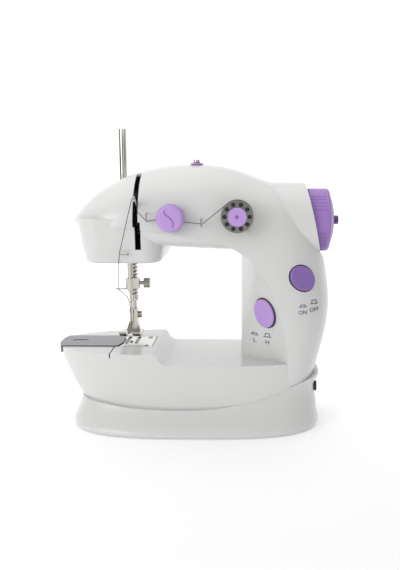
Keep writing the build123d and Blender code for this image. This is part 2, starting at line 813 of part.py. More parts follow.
# local x runs from the pivot to the eye
lever_plane = Plane(
    origin=(LEVER_X - 0.6, LEVER_Y, LEVER_Z), x_dir=(0, EYE_Y - LEVER_Y, EYE_Z - LEVER_Z), z_dir=(1, 0, 0)
)
with BuildPart() as take_up_lever:
    with BuildSketch(lever_plane):
        with BuildLine():
            Polyline((0, -3.6), (lever_reach, -1.3), (lever_reach, 1.3), (0, 3.6), close=True)
        make_face()
        Circle(3.6)
        with Locations((lever_reach, 0)):
            Circle(1.9)
            Circle(0.8, mode=Mode.SUBTRACT)
        Circle(1.55, mode=Mode.SUBTRACT)
    extrude(amount=1.2)
save(take_up_lever, "take_up_lever")

# ---------------------------------------------------------------- feed dog, rotary hook and lower drive
with BuildPart() as feed_dog:
    with BuildSketch(Plane.XY.offset(44.5)):
        with Locations((NEEDLE_X + 0.2, 3.5)):
            Rectangle(10.4, 16.5)
        with Locations((NEEDLE_X, 0)):
            SlotOverall(8, 3, rotation=90, mode=Mode.SUBTRACT)
    extrude(amount=2.5)
    with BuildSketch(Plane.XY.offset(47.0)):
        with Locations((NEEDLE_X - 2.9, 3.5), (NEEDLE_X + 3.8, 3.5)):
            Rectangle(1.6, 13.4)
    extrude(amount=7.3)
    # saw teeth
    with BuildSketch(Plane.YZ.offset(-60)):
        with GridLocations(1.45, 0, 10, 1):
            with Locations((3.5, 54.3)):
                Triangle(c=0.9, B=60, C=60, rotation=180)
    extrude(amount=30, mode=Mode.SUBTRACT)
save(feed_dog, "feed_dog")

with BuildPart() as hook_beak:
    with BuildSketch(Plane.XY.offset(38.5)):
        with BuildLine():
            RadiusArc((HOOK_X - 13.0, 0), (HOOK_X, 18.2), 18.0)
            Line((HOOK_X, 18.2), (HOOK_X + 4, 12.6))
            RadiusArc((HOOK_X + 4, 12.6), (HOOK_X - 13.0, 0), -13.2)
        make_face()
    extrude(amount=2.0)

with BuildPart() as rotary_hook:
    # cup, with two beaks because it makes half a turn per stitch
    with BuildSketch(Plane.XY.offset(34.0)):
        with Locations((HOOK_X, 0)):
            Circle(13.6)
    extrude(amount=1.6)
    with BuildSketch(Plane.XY.offset(35.6)):
        with Locations((HOOK_X, 0)):
            Circle(13.6)
            Circle(12.2, mode=Mode.SUBTRACT)
    extrude(amount=7.6)
    for turn in (0, 180):
        add(hook_beak.part.rotate(Axis((HOOK_X, 0, 0), (0, 0, 1)), turn))
    # face gear and shaft
    with BuildSketch(Plane.XY.offset(33.0)):
        with Locations((HOOK_X, 0)):
            Circle(11.4)
    extrude(amount=1.0)
    with BuildSketch(Plane.XY.offset(17.0)):
        with Locations((HOOK_X, 0)):
            Circle(2.5)
    extrude(amount=17.0)
save(rotary_hook, "rotary_hook")

with BuildPart() as lower_frame:
    with BuildSketch(Plane.XY.offset(14.0)):
        with Locations((HOOK_X + 10, 0)):
            Rectangle(34, 22)
    extrude(amount=3.0)
    with BuildSketch(Plane.XY.offset(17.0)):
        with Locations((HOOK_X, 0)):
            Circle(5)
    extrude(amount=5.0)
    with Locations((HOOK_X, 0, 20)):
        Cylinder(2.56, 20, mode=Mode.SUBTRACT)
    with BuildSketch(Plane.YZ.offset(-46)):
        with Locations((0, 23.4)):
            Rectangle(14, 16)
        with Locations((0, LOWER_Z)):
            Circle(2.56, mode=Mode.SUBTRACT)
    extrude(amount=5)
    # right bearing
    with BuildSketch(Plane.YZ.offset(42)):
        with Locations((0, 20.8)):
            Rectangle(16, 14)
        with Locations((0, LOWER_Z)):
            Circle(6)
        with Locations((0, LOWER_Z)):
            Circle(2.56, mode=Mode.SUBTRACT)
    extrude(amount=5)
    # rail between the two bearings
    with BuildSketch(Plane.XY.offset(13.8)):
        with Locations((2, 0)):
            Rectangle(92, 10)
    extrude(amount=1.6)
save(lower_frame, "lower_frame")

with BuildPart() as bobbin_case:
    with BuildSketch(Plane.XY.offset(36.0)):
        with Locations((HOOK_X, 0)):
            Circle(11.8)
    extrude(amount=1.0)
    with BuildSketch(Plane.XY.offset(37.0)):
        with Locations((HOOK_X, 0)):
            Circle(11.8)
            Circle(10.8, mode=Mode.SUBTRACT)
    extrude(amount=10.5)
    with BuildSketch(Plane.XY.offset(45.0)):
        with Locations((HOOK_X, 0)):
            Circle(15)
            Circle(11.8, mode=Mode.SUBTRACT)
        with Locations((HOOK_X, 20)):
            Rectangle(8, 12)
    extrude(amount=1.4)
save(bobbin_case, "bobbin_case")


def bobbin(height, bore):
    """Class 15 bobbin: two drilled flanges on a hub."""
    with BuildPart() as reel:
        for level in (0, height - 0.9):
            with BuildSketch(Plane.XY.offset(level)):
                Circle(BOBBIN_R)
                Circle(bore, mode=Mode.SUBTRACT)
                with PolarLocations(7.9, 10):
                    Circle(1.4, mode=Mode.SUBTRACT)
            extrude(amount=0.9)
        with BuildSketch(Plane.XY.offset(0.9)):
            Circle(bore + 1.1)
            Circle(bore, mode=Mode.SUBTRACT)
        extrude(amount=height - 1.8)
    return reel.part


with BuildPart() as lower_bobbin:
    with Locations((HOOK_X, 0, 37.35)):
        add(bobbin(9.6, 3.0))
save(lower_bobbin, "lower_bobbin")

with BuildPart() as lower_shaft:
    with BuildSketch(Plane.YZ.offset(-58)):
        with Locations((0, LOWER_Z)):
            Circle(2.5)
    extrude(amount=117)
    # pinion under the hook gear
    with BuildSketch(Plane.YZ.offset(-58)):
        with Locations((0, LOWER_Z)):
            Circle(4.9)
            with PolarLocations(4.9, 12):
                Rectangle(1.2, 1.0)
    extrude(amount=5)
    # toothed belt pulley
    with BuildSketch(Plane.YZ.offset(52)):
        with Locations((0, LOWER_Z)):
            Circle(9.0)
    extrude(amount=6)
save(lower_shaft, "lower_shaft")

def belt(x, width, top_z, top_r, low_z, low_r, thick):
    """Open belt loop round two pulleys on the same plane."""
    tilt = asin((top_r - low_r) / (top_z - low_z))
    with BuildPart() as loop:
        for grow, mode in ((thick, Mode.ADD), (0, Mode.SUBTRACT)):
            upper = top_r + grow
            lower = low_r + grow
            top_edge = (upper * cos(tilt), top_z - upper * sin(tilt))
            low_edge = (lower * cos(tilt), low_z - lower * sin(tilt))
            with BuildSketch(Plane.YZ.offset(x)):
                with Locations((0, top_z)):
                    Circle(upper)
                with Locations((0, low_z)):
                    Circle(lower)
                with BuildLine():
                    Polyline(
                        top_edge, low_edge, (-low_edge[0], low_edge[1]), (-top_edge[0], top_edge[1]), close=True
                    )
                make_face()
            extrude(amount=width, mode=mode)
    return loop.part


MOTOR_Z = 88.0
with BuildPart() as timing_belt:
    add(belt(52.4, 5.2, SHAFT_Z, 9.0 + GAP, LOWER_Z, 9.0 + GAP, 1.2))
save(timing_belt, "timing_belt")

with BuildPart() as motor_belt:
    add(belt(44.6, 3.8, SHAFT_Z, 16.0 + GAP, MOTOR_Z, 4.0 + GAP, 1.0))
save(motor_belt, "motor_belt")

with BuildPart() as motor_case:
    with BuildSketch(Plane.YZ.offset(61)):
        with Locations((0, MOTOR_Z)):
            Circle(12)
    extrude(amount=21)
    with BuildSketch(Plane.YZ.offset(61)):
        with Locations((0, MOTOR_Z)):
            Circle(1.06)
    extrude(amount=21, mode=Mode.SUBTRACT)
save(motor_case, "motor_case")

with BuildPart() as motor_mount:
    add(cavity)
    with BuildSketch(Plane.YZ.offset(61)):
        with Locations((0, MOTOR_Z)):
            Rectangle(200, 20)
    extrude(amount=8, mode=Mode.INTERSECT)
    with BuildSketch(Plane.YZ.offset(60)):
        with Locations((0, MOTOR_Z)):
            Circle(12)
            Rectangle(34, 60)
    extrude(amount=12, mode=Mode.SUBTRACT)
    # room behind the power button when it is pressed
    with BuildSketch(power_seat.offset(-8)):
        Ellipse(10.3, 8.5)
    extrude(amount=10, mode=Mode.SUBTRACT)
save(motor_mount, "motor_mount")

with BuildPart() as motor_rotor:
    with BuildSketch(Plane.YZ.offset(44)):
        with Locations((0, MOTOR_Z)):
            Circle(1.0)
    extrude(amount=36)
    with BuildSketch(Plane.YZ.offset(44)):
        with Locations((0, MOTOR_Z)):
            Circle(4.0)
    extrude(amount=5)
save(motor_rotor, "motor_rotor")

# -------------------------------------------------- upper thread fittings on the front of the arm
DIAL_X = -13.7
DIAL_Z = 145.8
front = Plane.XZ

with BuildPart() as tension_post:
    with BuildSketch(front.offset(30)):
        with Locations((DIAL_X, DIAL_Z)):
            Circle(2.0)
    extrude(amount=15.5)
    with BuildSketch(front.offset(36.0)):
        with Locations((DIAL_X, DIAL_Z)):
            Circle(7)
    extrude(amount=0.7)
    with BuildSketch(front.offset(37.4)):
        with Locations((DIAL_X, DIAL_Z)):
            Circle(7)
    extrude(amount=0.7)
save(tension_post, "tension_post")

with BuildPart() as tension_dial:
    with BuildSketch(front.offset(38.6)):
        with Locations((DIAL_X, DIAL_Z)):
            Circle(9.0)
            with PolarLocations(9.2, 28):
                Circle(0.72, mode=Mode.SUBTRACT)
    extrude(amount=5.6)
    with BuildSketch(front.offset(44.2)):
        with Locations((DIAL_X, DIAL_Z)):
            Circle(8.4)
    extrude(amount=2.4)
    fillet(tension_dial.faces().sort_by(Axis.Y)[0].edges(), 2.0)
    with BuildSketch(front.offset(38.6)):
        with Locations((DIAL_X, DIAL_Z)):
            Circle(2.06)
    extrude(amount=7.2, mode=Mode.SUBTRACT)
save(tension_dial, "tension_dial")

SPOOL_X = 28.5
SPOOL_Z = 147.0
with BuildPart() as bobbin_spindle:
    with BuildSketch(front.offset(26)):
        with Locations((SPOOL_X, SPOOL_Z)):
            Circle(2.9)
    extrude(amount=20)
    with BuildSketch(front.offset(46.0)):
        with Locations((SPOOL_X, SPOOL_Z)):
            Circle(5.9)
            Circle(1.25, mode=Mode.SUBTRACT)
    extrude(amount=1.4)
save(bobbin_spindle, "bobbin_spindle")

with BuildPart() as wound_thread:
    with BuildSketch(front.offset(36.35)):
        with Locations((SPOOL_X, SPOOL_Z)):
            Circle(9.3)
            Circle(4.06, mode=Mode.SUBTRACT)
    extrude(amount=8.3)
save(wound_thread, "wound_thread")

with BuildPart() as front_bobbin:
    with Locations(Location((SPOOL_X, -35.4, SPOOL_Z), (90, 0, 0))):
        add(bobbin(10.2, 2.96))
save(front_bobbin, "front_bobbin")

with BuildPart() as arm_guides:
    # small wire hooks either side of the tension dial
    for x, z, start in ((-29.2, 145.8, 30.5), (5.6, 142.3, 32.0)):
        with BuildLine() as hook:
            Polyline((x, -start, z + 2.6), (x, -40.5, z + 2.6), (x, -40.5, z - 1.6), (x, -38.2, z - 2.4))
        with BuildSketch(Plane(origin=(x, -start, z + 2.6), z_dir=(0, -1, 0))):
            Circle(0.45)
        sweep(path=hook.wires()[0], transition=Transition.ROUND)
save(arm_guides, "arm_guides")

with BuildPart() as nose_guide:
    with BuildLine() as loop:
        Polyline((-42.4, -31.5, 121.9), (-42.4, -36.6, 121.9), (-46.5, -36.6, 121.9), (-46.5, -38.4, 122.7))
    with BuildSketch(Plane(origin=(-42.4, -31.5, 121.9), z_dir=(0, -1, 0))):
        Circle(0.5)
    sweep(path=loop.wires()[0], transition=Transition.ROUND)
save(nose_guide, "nose_guide")

with BuildPart() as thread_cutter:
    with BuildSketch(Plane.XZ):
        with BuildLine():
            Polyline(
                (-71.6, 121.0), (-77.8, 122.6), (-78.4, 126.8), (-77.0, 125.2), (-75.8, 126.6),
                (-74.9, 124.2), (-71.9, 123.6), close=True
            )
        make_face()
    extrude(amount=1.6, both=True)
save(thread_cutter, "thread_cutter")

with BuildPart() as lamp:
    with BuildSketch(Plane.XY.offset(114.2)):
        with Locations((-64.5, 0)):
            Circle(2.55)
    extrude(amount=3.6)
    fillet(lamp.faces().sort_by(Axis.Z)[0].edges(), 1.2)
save(lamp, "lamp")

# ---------------------------------------------------------------- top of the arm
with BuildPart() as spool_rod:
    with BuildSketch(Plane.XY.offset(158)):
        with Locations((-52, 12)):
            Circle(2.6)
    extrude(amount=45)
    fillet(spool_rod.faces().sort_by(Axis.Z)[-1].edges(), 0.6)
    with BuildSketch(Plane.XY.offset(158)):
        with Locations((-52, 12)):
            Circle(1.7)
    extrude(amount=44, mode=Mode.SUBTRACT)
save(spool_rod, "spool_rod")

with BuildPart() as winding_stud:
    with BuildSketch(Plane.XY.offset(172)):
        with Locations((0.6, -4)):
            Circle(1.5)
    extrude(amount=8.6)
    with BuildSketch(Plane.XY.offset(180.6)):
        with Locations((0.6, -4)):
            Circle(2.1)
    extrude(amount=1.5)
    fillet(winding_stud.faces().sort_by(Axis.Z)[-1].edges(), 0.6)
save(winding_stud, "winding_stud")

with BuildPart() as winding_dish:
    with BuildSketch(Plane.XY.offset(178.8)):
        with Locations((0.6, -4)):
            Circle(4.4)
            Circle(1.5, mode=Mode.SUBTRACT)
    extrude(amount=0.9)
    chamfer(winding_dish.faces().sort_by(Axis.Z)[0].edges().sort_by(Edge.radius)[-1], 0.6)
save(winding_dish, "winding_dish")

# ---------------------------------------------------------------- buttons
with BuildPart() as power_button:
    with BuildSketch(power_seat.offset(-4.5)):
        Ellipse(9.6, 7.8)
    extrude(amount=6.0)
    fillet(power_button.faces().sort_by(Axis(power_seat.origin, power_seat.z_dir))[-1].edges(), 0.8)
save(power_button, "power_button")

with BuildPart() as speed_button:
    with BuildSketch(speed_seat.offset(-4.5)):
        Ellipse(8.7, 10.1)
    extrude(amount=6.0)
    fillet(speed_button.faces().sort_by(Axis(speed_seat.origin, speed_seat.z_dir))[-1].edges(), 0.8)
save(speed_button, "speed_button")


# ---------------------------------------------------------------- thread
def thread(name, *route):
    with BuildPart() as strand:
        with BuildLine() as line:
            Polyline(*route)
        first = Vector(*route[1]) - Vector(*route[0])
        with BuildSketch(Plane(origin=route[0], z_dir=first)):
            Circle(THREAD_R)
        sweep(path=line.wires()[0], transition=Transition.ROUND)
    save(strand, name)


thread(
    "supply_thread",
    (22.4, -41.0, 155.0), (6.3, -39.6, 141.9), (-8.0, -37.05, 143.2), (-13.7, -37.05, 143.2),
    (-20.5, -37.05, 144.9), (-29.2, -39.6, 143.6), (-34.9, -38.2, 149.4),
)
thread(
    "take_up_thread",
    (-34.9, -38.4, 150.0), (LEVER_X + 1.2, EYE_Y, EYE_Z), (LEVER_X - 1.2, EYE_Y - 0.1, EYE_Z - 0.2),
    (-47.4, -37.9, 122.6),
)
thread(
    "clamp_thread",
    (-47.4, -37.4, 122.0), (-48.6, -33.9, 116.6), (-49.6, -30.6, 113.7), (NEEDLE_X - 7.4, -5.2, 93.5),
)
thread(
    "needle_thread",
    (NEEDLE_X - 7.4, -5.0, 92.9), (NEEDLE_X - 1.7, -3.2, 87.4), (NEEDLE_X - 0.4, -1.5, 80.2),
    (NEEDLE_X, -0.9, 74.8), (NEEDLE_X, 0.8, 74.2), (NEEDLE_X, 0.9, 66.0),
)
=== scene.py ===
import math
import bmesh
import bpy
from mathutils import Matrix, Vector


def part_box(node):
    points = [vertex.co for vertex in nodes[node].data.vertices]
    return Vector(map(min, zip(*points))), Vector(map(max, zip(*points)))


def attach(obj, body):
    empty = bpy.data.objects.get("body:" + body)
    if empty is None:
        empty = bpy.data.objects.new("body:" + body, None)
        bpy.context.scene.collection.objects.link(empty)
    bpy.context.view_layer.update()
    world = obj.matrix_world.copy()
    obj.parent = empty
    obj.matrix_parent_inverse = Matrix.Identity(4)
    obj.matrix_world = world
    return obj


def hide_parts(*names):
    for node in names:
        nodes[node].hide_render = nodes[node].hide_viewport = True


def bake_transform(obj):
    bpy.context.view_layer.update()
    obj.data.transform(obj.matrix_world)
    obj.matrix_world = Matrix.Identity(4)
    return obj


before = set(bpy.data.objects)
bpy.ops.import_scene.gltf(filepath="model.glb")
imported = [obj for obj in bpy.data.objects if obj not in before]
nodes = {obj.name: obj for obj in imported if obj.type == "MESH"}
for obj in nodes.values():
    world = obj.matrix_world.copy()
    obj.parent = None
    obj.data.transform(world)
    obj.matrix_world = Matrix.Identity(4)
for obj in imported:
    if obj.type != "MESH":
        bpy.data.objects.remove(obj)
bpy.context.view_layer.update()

MM = 0.001


# ---------------------------------------------------------------- materials
DRIFT_SCALE = 28.0
BUMP_DEPTH = 0.0002
TURNED_LINES = 900.0


def material(name, color, rough, metal=0.0, bump=0.02, grain=900.0, vary=0.02, coat=0.0, wear=0.04):
    """Principled surface with fine procedural grain, slight colour drift and uneven gloss."""
    mat = bpy.data.materials.new(name)
    mat.use_nodes = True
    tree = mat.node_tree
    bsdf = tree.nodes["Principled BSDF"]
    bsdf.inputs["Metallic"].default_value = metal
    bsdf.inputs["Coat Weight"].default_value = coat
    bsdf.inputs["Coat Roughness"].default_value = 0.12
    coord = tree.nodes.new("ShaderNodeTexCoord")
    fine = tree.nodes.new("ShaderNodeTexNoise")
    fine.inputs["Scale"].default_value = grain
    fine.inputs["Detail"].default_value = 4.0
    tree.links.new(coord.outputs["Object"], fine.inputs["Vector"])
    broad = tree.nodes.new("ShaderNodeTexNoise")
    broad.inputs["Scale"].default_value = DRIFT_SCALE
    broad.inputs["Detail"].default_value = 3.0
    tree.links.new(coord.outputs["Object"], broad.inputs["Vector"])
    ramp = tree.nodes.new("ShaderNodeMix")
    ramp.data_type = "RGBA"
    ramp.inputs[6].default_value = [c * (1 - vary) for c in color] + [1]
    ramp.inputs[7].default_value = [min(c * (1 + vary), 1) for c in color] + [1]
    tree.links.new(broad.outputs["Fac"], ramp.inputs[0])
    tree.links.new(ramp.outputs[2], bsdf.inputs["Base Color"])
    spread = tree.nodes.new("ShaderNodeMapRange")
    spread.inputs["To Min"].default_value = max(rough - wear, 0.03)
    spread.inputs["To Max"].default_value = rough + wear
    tree.links.new(fine.outputs["Fac"], spread.inputs["Value"])
    tree.links.new(spread.outputs["Result"], bsdf.inputs["Roughness"])
    relief = tree.nodes.new("ShaderNodeBump")
    relief.inputs["Strength"].default_value = bump
    relief.inputs["Distance"].default_value = BUMP_DEPTH
    tree.links.new(fine.outputs["Fac"], relief.inputs["Height"])
    tree.links.new(relief.outputs["Normal"], bsdf.inputs["Normal"])
    return mat


def brushed(name, color, rough, axis):
    """Metal with fine turned lines across the given axis."""
    mat = material(name, color, rough, metal=1.0, bump=0.03, grain=700)
    tree = mat.node_tree
    bump = next(n for n in tree.nodes if n.type == "BUMP")
    coord = next(n for n in tree.nodes if n.type == "TEX_COORD")
    lines = tree.nodes.new("ShaderNodeTexWave")
    lines.bands_direction = axis
    lines.inputs["Scale"].default_value = TURNED_LINES
    lines.inputs["Distortion"].default_value = 1.5
    tree.links.new(coord.outputs["Object"], lines.inputs["Vector"])
    tree.links.new(lines.outputs["Fac"], bump.inputs["Height"])
    return mat


white = material("white_shell", (0.63, 0.63, 0.622), 0.28, bump=0.004, coat=0.25, vary=0.008, wear=0.01)
white_base = material("white_base", (0.62, 0.62, 0.612), 0.32, bump=0.006, coat=0.2, vary=0.008, wear=0.01)
light_purple = material("light_purple", (0.47, 0.295, 0.65), 0.36, coat=0.15, vary=0.02)
wheel_purple = material("wheel_purple", (0.31, 0.175, 0.48), 0.42, vary=0.03, bump=0.05)
key_purple = material("key_purple", (0.235, 0.135, 0.40), 0.36, coat=0.2, vary=0.03)
spindle_purple = material("spindle_purple", (0.10, 0.045, 0.16), 0.35)
smoky = material("smoky_plate", (0.12, 0.12, 0.14), 0.26, coat=0.2, vary=0.03)
chrome = material("polished_chrome", (0.55, 0.53, 0.49), 0.13, metal=1.0, bump=0.01, vary=0.04)
plate_chrome = material("plate_chrome", (0.62, 0.62, 0.61), 0.20, metal=1.0, bump=0.015, vary=0.03)
nickel = material("nickel_steel", (0.40, 0.385, 0.35), 0.28, metal=1.0, bump=0.03, vary=0.06)
bobbin_metal = material("bobbin_metal", (0.30, 0.29, 0.27), 0.30, metal=1.0, bump=0.04, vary=0.08)
turned = brushed("turned_steel", (0.60, 0.58, 0.55), 0.22, "Z")
cast = material("cast_metal", (0.45, 0.46, 0.47), 0.5, metal=1.0, bump=0.25, grain=350)
brass = material("bush_brass", (0.62, 0.43, 0.18), 0.32, metal=1.0, bump=0.04)
black = material("black_plastic", (0.012, 0.012, 0.014), 0.45, bump=0.05)
rubber = material("black_rubber", (0.02, 0.02, 0.02), 0.7, bump=0.2, grain=500)
board = material("board_green", (0.02, 0.12, 0.05), 0.4)
lens = material("lamp_lens", (0.85, 0.86, 0.80), 0.12, coat=0.6)
thread_mat = material("spun_thread", (0.035, 0.035, 0.038), 0.75, bump=0.6, grain=2600, vary=0.2)
ink = material("print_ink", (0.08, 0.04, 0.14), 0.5, bump=0.05)
red = material("dark_red", (0.28, 0.02, 0.03), 0.4)

LOOK = {
    white: ["front_housing", "rear_housing", "nose_cover", "wheel_guard"],
    white_base: ["base_skirt", "base_plate", "battery_door"],
    rubber: ["rubber_feet", "timing_belt", "motor_belt"],
    nickel: ["base_screws", "motor_case", "motor_rotor", "rotary_hook", "lower_bobbin",
             "feed_dog", "clamp_screw", "foot_screw", "presser_spring"],
    bobbin_metal: ["front_bobbin"],
    turned: ["main_shaft", "lower_shaft"],
    black: ["sockets", "bobbin_case", "upper_pulleys"],
    board: ["circuit_board"],
    smoky: ["slide_plate"],
    plate_chrome: ["needle_plate"],
    chrome: ["needle_bar", "needle_clamp", "needle", "presser_bar", "presser_foot", "presser_lifter",
             "take_up_lever", "tension_post", "arm_guides", "nose_guide", "spool_rod", "winding_stud"],
    wheel_purple: ["handwheel"],
    spindle_purple: ["winder_spindle"],
    cast: ["head_frame", "lower_frame", "crank_disc", "needle_yoke", "motor_mount"],
    brass: ["bushes"],
    light_purple: ["tension_dial", "speed_button", "bobbin_spindle", "thread_cutter", "winding_dish"],
    key_purple: ["power_button"],
    lens: ["lamp"],
    thread_mat: ["wound_thread", "supply_thread", "take_up_thread", "clamp_thread", "needle_thread"],
}
for mat, names in LOOK.items():
    for name in names:
        node = nodes[name]
        node.data.materials.clear()
        node.data.materials.append(mat)


# ---------------------------------------------------------------- added pieces
def to_mesh(bm, name):
    mesh = bpy.data.meshes.new(name)
    bm.to_mesh(mesh)
    bm.free()
    return mesh


def link(name, data):
    obj = bpy.data.objects.new(name, data)
    bpy.context.scene.collection.objects.link(obj)
    return obj


def piece(name, mesh, mat, body):
    """A piece that moves with one body of the machine."""
    obj = link(name, mesh)
    mesh.materials.append(mat)
    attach(obj, body)
    return obj


def circle(radius, count):
    """Points spaced evenly round a circle in the plane."""
    turns = [2 * math.pi * k / count for k in range(count)]
    return [(radius * math.cos(a), radius * math.sin(a)) for a in turns]


def tube_mesh(name, points, radius, sides=10, closed=False):
    """A round rod along a list of points."""
    bm = bmesh.new()
    pts = [Vector(p) * MM for p in points]
    rings = []
    count = len(pts)
    normal = None
    for i, p in enumerate(pts):
        a = pts[i - 1] if i or closed else pts[i]
        b = pts[(i + 1) % count] if i < count - 1 or closed else pts[i]
        run = (b - a).normalized()
        if normal is None:
            normal = run.orthogonal().normalized()
        normal = (normal - run * normal.dot(run)).normalized()
        side = run.cross(normal)
        rings.append([
            bm.verts.new(p + (normal * x + side * y) * radius * MM)
            for x, y in circle(1, sides)
        ])
    spans = count if closed else count - 1
    for i in range(spans):
        r0 = rings[i]
        r1 = rings[(i + 1) % count]
        for k in range(sides):
            bm.faces.new((r0[k], r0[(k + 1) % sides], r1[(k + 1) % sides], r1[k])).smooth = True
    if not closed:
        bm.faces.new(list(reversed(rings[0])))
        bm.faces.new(rings[-1])
    return to_mesh(bm, name)


def seat(origin, out, across):
    """Local frame in millimetres: z points out of the surface, x runs across."""
    z = Vector(out).normalized()
    x = (Vector(across) - z * Vector(across).dot(z)).normalized()
    y = z.cross(x)
    return Matrix((
        (x.x, y.x, z.x, origin[0]),
        (x.y, y.y, z.y, origin[1]),
        (x.z, y.z, z.z, origin[2]),
        (0, 0, 0, 1),
    ))


# ---------------------------------------------------------------- surface of the shell
CLEAR_OF_SHELL = 80.0


def on_shell(x, z, name="front_housing", side=-1):
    """Point and outward normal of a housing at x, z in millimetres: side -1 is its front, 1 its back."""
    start = Vector((x, side * CLEAR_OF_SHELL, z)) * MM
    hit, place, normal, _ = nodes[name].ray_cast(start, Vector((0, -side, 0)))
    if not hit:
        raise RuntimeError(f"no surface at {x}, {z}")
    return place / MM, normal


def smooth_path(points, steps=8):
    """Catmull-Rom curve through the points."""
    pts = [Vector(p) for p in points]
    out = []
    for i in range(len(pts) - 1):
        p0 = pts[max(i - 1, 0)]
        p1 = pts[i]
        p2 = pts[i + 1]
        p3 = pts[min(i + 2, len(pts) - 1)]
        for k in range(steps):
            t = k / steps
            out.append(0.5 * ((2 * p1) + (p2 - p0) * t + (2 * p0 - 5 * p1 + 4 * p2 - p3) * t ** 2
                              + (3 * p1 - p0 - 3 * p2 + p3) * t ** 3))
    out.append(pts[-1])
    return out


# ---------------------------------------------------------------- printed marks
INK_FILM = 0.08
INK_LIFT = 0.1
MARK_EDGE = 0.8


def print_on_shell(name, flat, x0, z0):
    """Lays a flat mesh (x, y in millimetres) on the front of the housing as a thin film of ink."""
    bm = bmesh.new()
    bm.from_mesh(flat)
    bmesh.ops.triangulate(bm, faces=bm.faces)
    long_edges = [e for e in bm.edges if e.calc_length() > MARK_EDGE]
    bmesh.ops.subdivide_edges(bm, edges=long_edges, cuts=2, use_grid_fill=False)
    bmesh.ops.triangulate(bm, faces=bm.faces)
    for v in bm.verts:
        place, normal = on_shell(x0 + v.co.x, z0 + v.co.y)
        v.co = (place + normal * INK_LIFT) * MM
    obj = piece(name, to_mesh(bm, name), ink, "machine")
    skin = obj.modifiers.new("film", "SOLIDIFY")
    skin.thickness = INK_FILM * MM
    skin.offset = 0


def letters(text, size):
    """Flat mesh of a word, centred, in millimetres."""
    curve = bpy.data.curves.new("letters", "FONT")
    curve.body = text
    curve.size = size
    curve.align_x = "CENTER"
    curve.align_y = "CENTER"
    curve.resolution_u = 3
    obj = link("letters", curve)
    bpy.context.view_layer.update()
    mesh = bpy.data.meshes.new_from_object(obj.evaluated_get(bpy.context.evaluated_depsgraph_get()))
    bpy.data.objects.remove(obj)
    bpy.data.curves.remove(curve)
    return mesh


def switch_icon(pressed):
    """A key seen from the side: a frame line with a low or a high cap on it."""
    bm = bmesh.new()
    top = 1.5 if pressed else 2.5
    boxes = [(-2.7, -0.25, 2.7, 0.2), (-1.7, -0.2, -1.3, top), (1.3, -0.2, 1.7, top),
             (-1.7, top - 0.45, 1.7, top)]
    for x0, y0, x1, y1 in boxes:
        bm.faces.new([bm.verts.new((x, y, 0)) for x, y in ((x0, y0), (x1, y0), (x1, y1), (x0, y1))])
    return to_mesh(bm, "switch_icon")


for name, word, size, x, z in (
    ("mark_on", "ON", 3.7, 71.4, 82.8),
    ("mark_off", "OFF", 3.7, 79.2, 84.0),
    ("mark_low", "L", 4.2, 40.0, 59.4),
    ("mark_high", "H", 4.2, 48.6, 59.2),
):
    print_on_shell(name, letters(word, size), x, z)
for name, pressed, x, z in (
    ("icon_on", True, 71.4, 86.6),
    ("icon_off", False, 79.0, 88.2),
    ("icon_low", True, 40.0, 63.6),
    ("icon_high", False, 48.6, 63.4),
):
    print_on_shell(name, switch_icon(pressed), x, z)


# ---------------------------------------------------------------- take-up slot: painted shade on its walls
SLOT_SHADE_STEPS = 24
SLOT_SHADE_SECTION = ((0.06, 0.05), (0.34, 0.05), (0.34, 5.5), (0.06, 5.5))


def slot_shade_strip(name, x, z_low, z_high, inward):
    """A thin black strip on one side wall of the slot, following the shell's surface: painted shade inside
    the slot.
    """
    bm = bmesh.new()
    rows = []
    for k in range(SLOT_SHADE_STEPS + 1):
        z = z_low + (z_high - z_low) * k / SLOT_SHADE_STEPS
        place, _ = on_shell(x - inward * 0.5, z)
        rows.append([
            bm.verts.new(Vector((x + inward * dx, place.y + dy, z)) * MM) for dx, dy in SLOT_SHADE_SECTION
        ])
    for a, b in zip(rows, rows[1:]):
        for k in range(4):
            bm.faces.new((a[k], a[(k + 1) % 4], b[(k + 1) % 4], b[k]))
    bm.faces.new(rows[0])
    bm.faces.new(list(reversed(rows[-1])))
    bmesh.ops.recalc_face_normals(bm, faces=bm.faces)
    piece(name, to_mesh(bm, name), black, "machine")


# These four black strips are painted shade on the walls of the slot in the white shell.
slot_shade_strip("slot_shade_left", -38.9, 142.9, 171.6, 1)
slot_shade_strip("slot_shade_right", -35.5, 142.9, 171.6, -1)
slot_shade_strip("slot_shade_low_left", -37.8, 124.8, 138.8, 1)
slot_shade_strip("slot_shade_low_right", -34.0, 124.8, 142.2, -1)


# ---------------------------------------------------------------- painted shade rings in the gaps round the two buttons
def gap_shade_ring(name, origin, out, across, half_long, half_short, depth):
    """A black oval ring in the gap between a button and its hole: painted shade in that gap."""
    place = seat(origin, out, across)
    points = [place @ Vector((half_long * x, half_short * y, depth)) for x, y in circle(1, 64)]
    piece(name, tube_mesh(name, points, 0.32, closed=True), black, "machine")


POWER_SEAT = ((71.0, -29.5, 105.4), (0.431, -0.896, 0.107), (0.78, 0.3035, -0.6))
SPEED_SEAT = ((46.4, -22.9, 80.4), (-0.701, -0.688, -0.186), (0.7, -0.713, 0))
# Black rings drawn as painted shade in the gaps round the power and speed buttons.
gap_shade_ring("power_gap_shade", *POWER_SEAT, 9.96, 8.16, -0.5)
gap_shade_ring("speed_gap_shade", *SPEED_SEAT, 9.12, 10.52, -0.4)

# ---------------------------------------------------------------- wave ridge on the tension dial
dial_low, dial_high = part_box("tension_dial")
dial_x = (dial_low.x + dial_high.x) / 2 / MM
dial_z = (dial_low.z + dial_high.z) / 2 / MM
ridge_y = dial_low.y / MM + 0.05
wave = smooth_path([
    (dial_x + dx, ridge_y, dial_z + dz)
    for dx, dz in ((-3.6, 5.0), (-2.8, 2.6), (0, 0.4), (1.9, -2.4), (1.6, -5.4))
])
piece("dial_wave", tube_mesh("dial_wave", wave, 0.5), wheel_purple, "dial")


